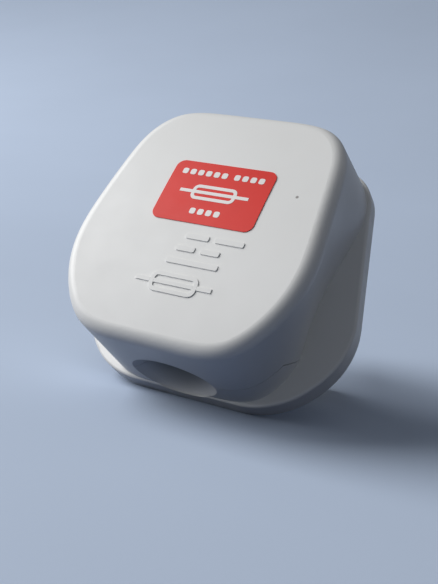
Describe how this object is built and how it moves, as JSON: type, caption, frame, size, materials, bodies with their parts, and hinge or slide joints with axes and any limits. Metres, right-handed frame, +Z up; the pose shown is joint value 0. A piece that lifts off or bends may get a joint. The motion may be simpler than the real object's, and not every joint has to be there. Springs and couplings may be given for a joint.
{
  "type": "uk three pin plug",
  "caption": "Rewireable three-pin mains plug with an arched white cover, tapered finger grips, a flanged base, part-sleeved brass pins and a bell-mouthed cord entry.",
  "frame": {"origin": "on the surface it lies on, under the middle of its box", "axes": "+Z up, +Y from the cord end towards the pin tips, +X across the pins from neutral to live"},
  "size_m": [0.0502, 0.0582, 0.0475],
  "materials": {
    "white_plastic": "glossy moulded white",
    "pin_brass": "bright drawn brass",
    "sleeve_plastic": "black insulating sleeve",
    "screw_steel": "zinc plated",
    "clip_brass": "sprung strip",
    "fuse_ceramic": "unglazed barrel",
    "fuse_cap_metal": "plated caps",
    "clamp_fibre": "red-brown fibre",
    "label_paper": "red gloss label"
  },
  "bodies": {
    "root": {"base": "white_plastic", "cover": "white_plastic", "cover_screw": "screw_steel", "cover_screw_washer": "clamp_fibre", "cover_nut": "pin_brass", "earth_pin": "pin_brass", "neutral_pin": "pin_brass", "live_pin": "pin_brass", "neutral_pin_sleeve": "sleeve_plastic", "live_pin_sleeve": "sleeve_plastic", "earth_terminal_screw": "screw_steel", "neutral_terminal_screw": "screw_steel", "live_terminal_screw": "screw_steel", "live_terminal": "pin_brass", "fuse_body": "fuse_ceramic", "fuse_cap_pin_side": "fuse_cap_metal", "fuse_cap_load_side": "fuse_cap_metal", "fuse_clip_pin_side": "clip_brass", "fuse_clip_load_side": "clip_brass", "cord_clamp": "clamp_fibre", "cord_clamp_screws": "screw_steel", "fuse_label": "label_paper"}
  },
  "joints": []
}
